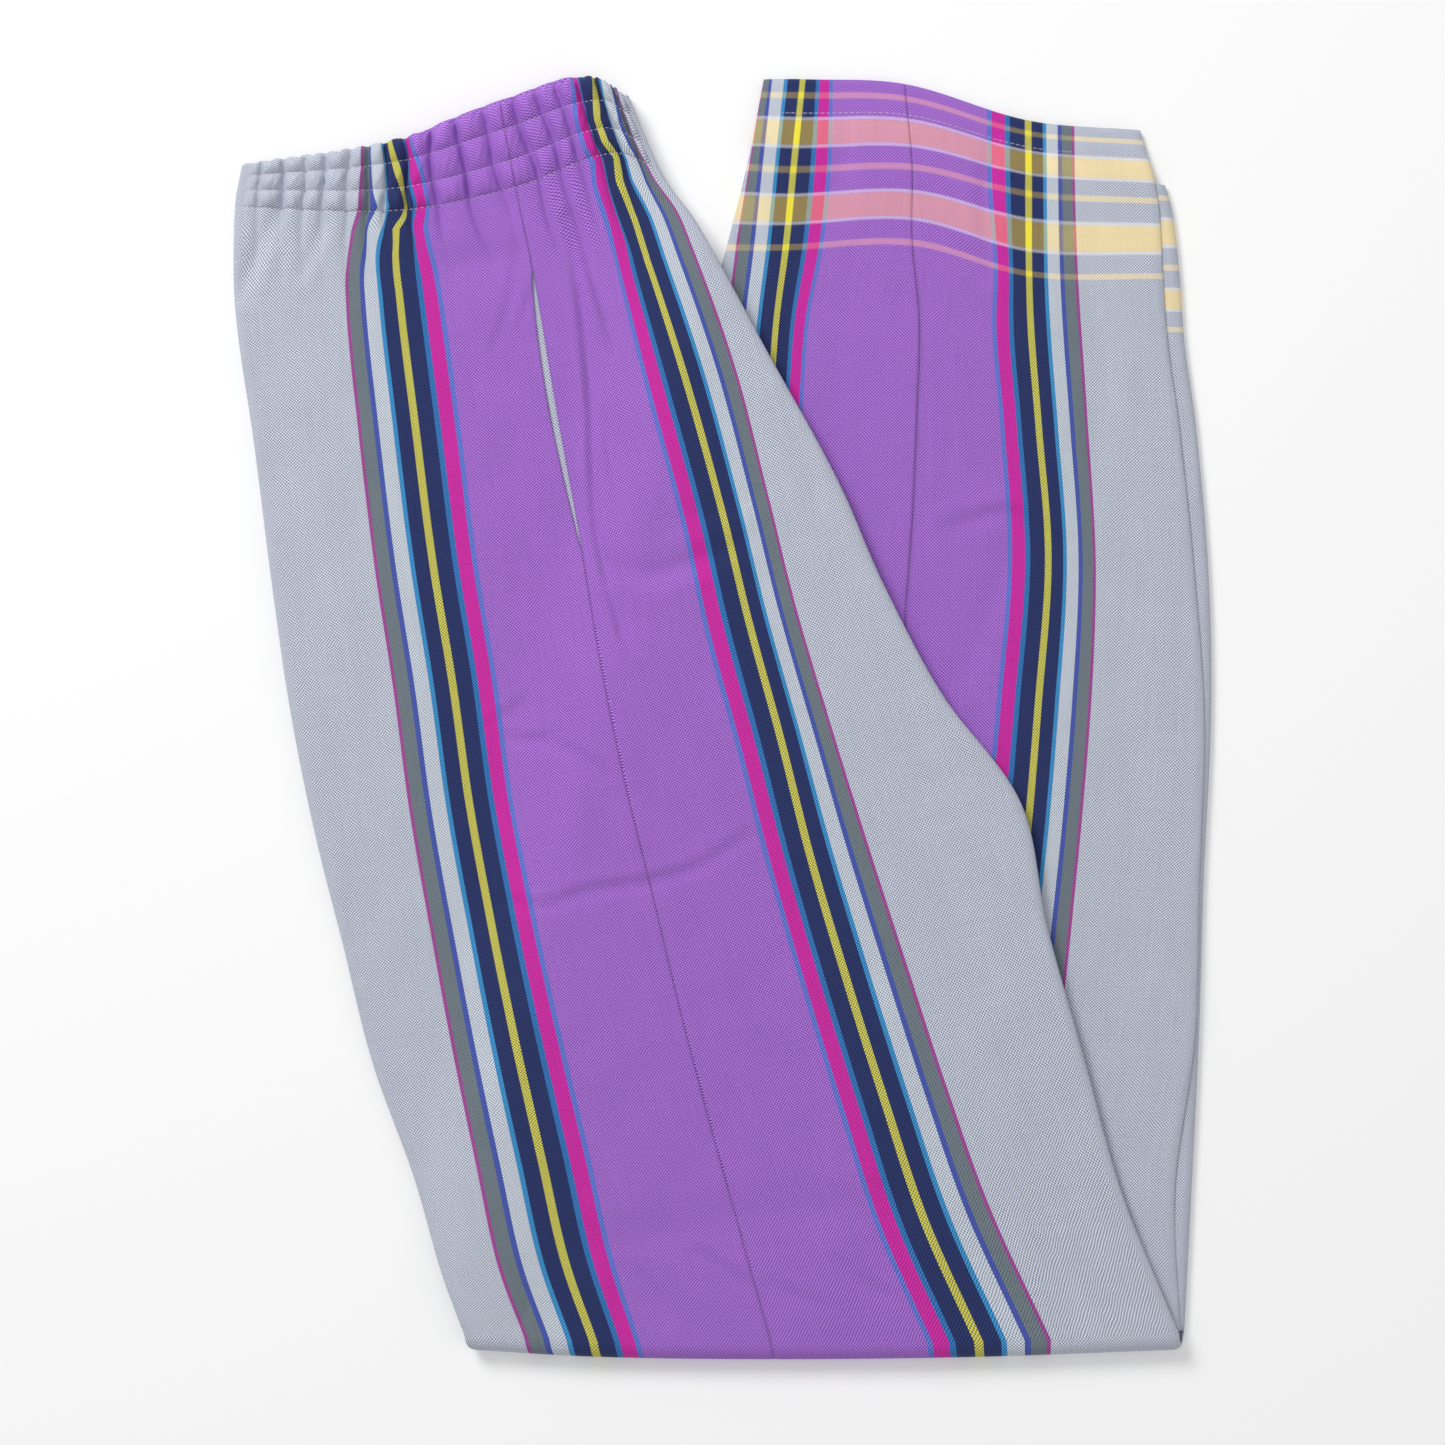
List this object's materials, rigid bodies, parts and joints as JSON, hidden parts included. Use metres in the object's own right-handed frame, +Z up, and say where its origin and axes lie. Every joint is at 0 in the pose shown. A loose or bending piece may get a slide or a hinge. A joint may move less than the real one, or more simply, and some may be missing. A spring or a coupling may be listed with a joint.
{
  "type": "folded kikoy trousers",
  "caption": "Pull-on woven cotton trousers with a gathered waist and border stripes, folded flat with the lower legs turned under at the knee.",
  "frame": {"origin": "on the surface the garment lies on, below the middle of its bounding box", "axes": "+Y from the knee fold towards the waist and hems, +Z up from the surface, +X to the right of someone at the knee fold looking towards the waist"},
  "size_m": [0.4015, 0.5265, 0.0156],
  "materials": {
    "striped_cotton": "plain-woven cotton with purple, navy, yellow, magenta, white and grey warp stripes",
    "hem_cotton": "the same cotton with cream and white weft bands, turned and stitched",
    "pale_cotton": "plain-woven pale blue-grey cotton"
  },
  "bodies": {
    "root": {"waist_casing_front": "striped_cotton", "waist_casing_back": "striped_cotton", "waist_casing_far": "striped_cotton", "left_leg_front": "striped_cotton", "left_leg_back": "striped_cotton", "right_leg_front": "striped_cotton", "right_leg_back": "striped_cotton", "left_hem_front": "hem_cotton", "left_hem_back": "hem_cotton", "right_hem_front": "hem_cotton", "right_hem_back": "hem_cotton", "pocket_facing": "pale_cotton", "hidden_layers_upper": "pale_cotton", "hidden_layers_lower": "pale_cotton"}
  },
  "joints": []
}
